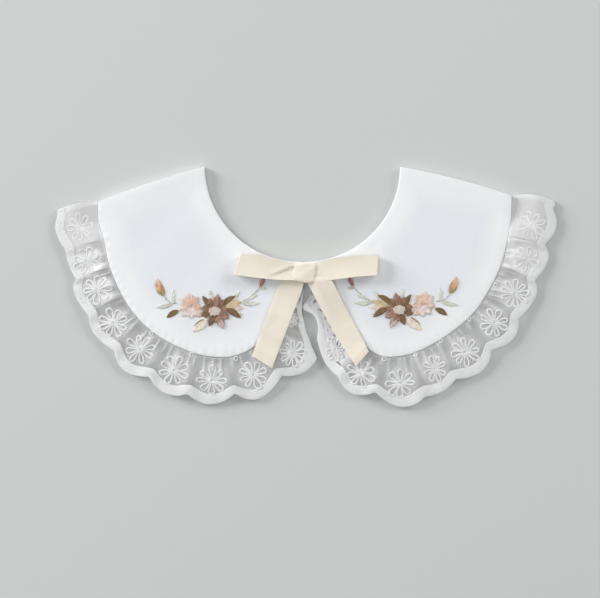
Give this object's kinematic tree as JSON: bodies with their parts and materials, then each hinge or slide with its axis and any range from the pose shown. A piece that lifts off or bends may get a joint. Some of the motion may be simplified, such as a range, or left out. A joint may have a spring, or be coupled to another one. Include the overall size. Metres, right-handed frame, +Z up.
{
  "type": "embroidered fabric collar with lace ruffle and ribbon bow",
  "caption": "Detachable round cloth collar laid flat, back halves folded under, with a gathered lace ruffle round the outer edge and a ribbon bow at the neck.",
  "frame": {"origin": "on the table, under the middle of the collar's outline as it lies flat", "axes": "+X to the right of the laid-out collar seen from above, +Y towards its shoulder folds, +Z up from the table"},
  "size_m": [0.3122, 0.1503, 0.0099],
  "materials": {
    "white_cloth": "matt white linen-cotton in a very fine plain weave",
    "white_lace": "fine net with matt satin-stitched flowers and a solid scalloped border",
    "cream_ribbon": "soft matt cream ribbon with fine cross ribs",
    "embroidery_thread": "stranded embroidery thread in browns, olive, peach and cream, with a low sheen"
  },
  "bodies": {
    "root": {"panel_left": "white_cloth", "panel_right": "white_cloth", "lace_left": "white_lace", "lace_right": "white_lace", "bow_knot": "cream_ribbon", "bow_loop_left": "cream_ribbon", "bow_loop_right": "cream_ribbon", "bow_tail_left": "cream_ribbon", "bow_tail_right": "cream_ribbon"}
  },
  "joints": []
}
